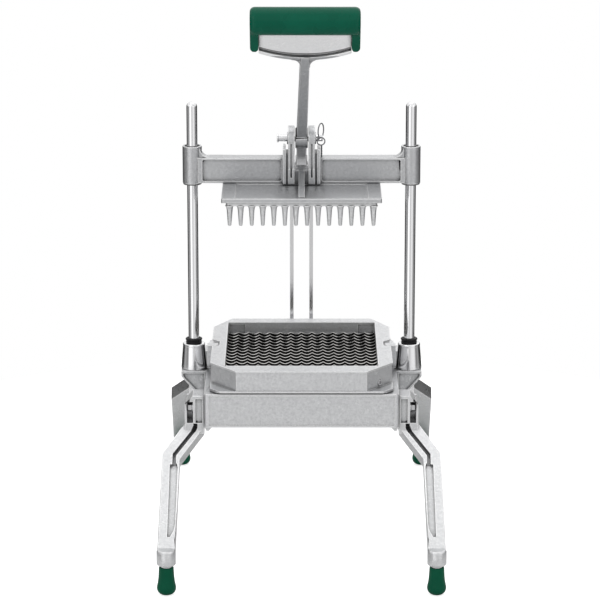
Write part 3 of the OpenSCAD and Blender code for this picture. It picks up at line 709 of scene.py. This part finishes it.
# %% The grip
def melted(node, name, voxel, rounds):
    """One smooth skin over a copy of a CAD node."""
    made = bpy.data.objects.new(name + "_melt", merged_copy(node, name + "_melt"))
    scene.collection.objects.link(made)
    skin = made.modifiers.new("skin", "REMESH")
    skin.mode = "VOXEL"
    skin.voxel_size = voxel
    soft = made.modifiers.new("soft", "SMOOTH")
    soft.factor = 0.5
    soft.iterations = rounds
    bpy.context.view_layer.update()
    mesh = bpy.data.meshes.new_from_object(made.evaluated_get(bpy.context.evaluated_depsgraph_get()))
    bpy.data.objects.remove(made)
    mesh.name = name
    mesh.shade_smooth()
    print(name, "has", len(mesh.polygons), "faces")
    return mesh


piece_from("grip_moulding", melted("handle_grip", "grip_moulding", 0.0008, 6),
           "lever", "green_plastic", green_plastic, "handle_grip")

# %% [markdown]
# ## The wire ring clip
# A ring of spring wire passes through the end of the pivot pin so that the lever can be
# taken off without tools. Its ends close in a small eye and twist together. The ring, the
# eye and the two strands are curves with a round bevel, made a mesh at the end.

# %% The wire ring clip
def wire(name, points, radius, closed=False):
    """A mesh tube along a path."""
    data = bpy.data.curves.new(name, "CURVE")
    data.dimensions = "3D"
    data.bevel_depth = radius
    data.bevel_resolution = 3
    data.use_fill_caps = not closed
    line = data.splines.new("POLY")
    line.points.add(len(points) - 1)
    for spot, p in zip(line.points, points):
        spot.co = (*p, 1)
    line.use_cyclic_u = closed
    made = bpy.data.objects.new(name + "_path", data)
    scene.collection.objects.link(made)
    bpy.context.view_layer.update()
    mesh = bpy.data.meshes.new_from_object(made.evaluated_get(bpy.context.evaluated_depsgraph_get()))
    bpy.data.objects.remove(made)
    bpy.data.curves.remove(data)
    return mesh


low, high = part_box("ring_clip")
pin_low, pin_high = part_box("pivot_pin")
pivot = (pin_low.z + pin_high.z) / 2
ring_r, eye_r, wire_r = 6.5 * mm, 3.4 * mm, 0.55 * mm
clip_x = 16.9 * mm
lean = math.radians(-22)
across = Vector((-math.sin(lean), math.cos(lean), 0))
centre = Vector((clip_x, 0, pivot + ring_r))
ring = [centre + across * ring_r * math.cos(a) + Vector((0, 0, ring_r * math.sin(a)))
        for a in [2 * math.pi * k / 48 for k in range(48)]]
eye_centre = Vector((clip_x + 0.1 * mm, -3.9 * mm, pivot - 2.1 * mm))
eye = [eye_centre + Vector((eye_r * math.cos(a), 0, eye_r * math.sin(a)))
       for a in [2 * math.pi * k / 32 for k in range(32)]]
strand_r, strand_length, strand_turns = 0.42 * mm, 10.3 * mm, 3.5
strands = []
for phase in (0, math.pi):
    path = []
    for k in range(49):
        t = k / 48
        a = phase + t * 2 * math.pi * strand_turns
        path.append(eye_centre + Vector((0.5 * mm + strand_r * math.cos(a), strand_r * math.sin(a),
                                         -eye_r - 0.1 * mm - t * strand_length)))
    strands.append(wire("strand", path, strand_r))
clip = joined("ring_clip_wire", [wire("ring", ring, wire_r, True), wire("eye", eye, wire_r, True)] + strands)
piece_from("ring_clip_wire", clip, "crosshead", "stainless", dark_chrome, "ring_clip")
print("ring clip made of", len(clip.polygons), "faces")

# %% [markdown]
# ## Fasteners and small parts
# Bolts, nuts, washers, pins and links keep their CAD shapes. A narrow bevel gives each of
# them the bright broken edge that machined steel has.

# %% Fasteners and small parts
finish_for = {"stainless": polished, "fastener_steel": fastener, "blade_steel": blade,
              "dark_bearing": bearing}
slot_of = {part["node"]: part["material_slot"] for part in frame["record"]["subparts"]}
small = {"bracket_screws": 0.2, "post_nuts": 0.3, "leg_bolts": 0.35, "leg_washers": 0.2, "leg_nuts": 0.3,
         "foot_studs": 0.2, "link_left": 0.35, "link_right": 0.35, "link_rivets": 0.3, "link_pin": 0.3,
         "link_spacer": 0.2, "link_retainers": 0.2, "tail_pin": 0.2, "pivot_pin": 0.35, "pin_washers": 0.2,
         "frame_screw": 0.2, "frame_dowels": 0.2, "plate_screws": 0.2, "bush_left": 0.2, "bush_right": 0.2,
         "blade_rods": 0.2}
for node, width in small.items():
    softened(node, slot_of[node], finish_for[slot_of[node]], width * mm,
             join_flat=node in ("link_left", "link_right"))
print("small parts:", len(small))
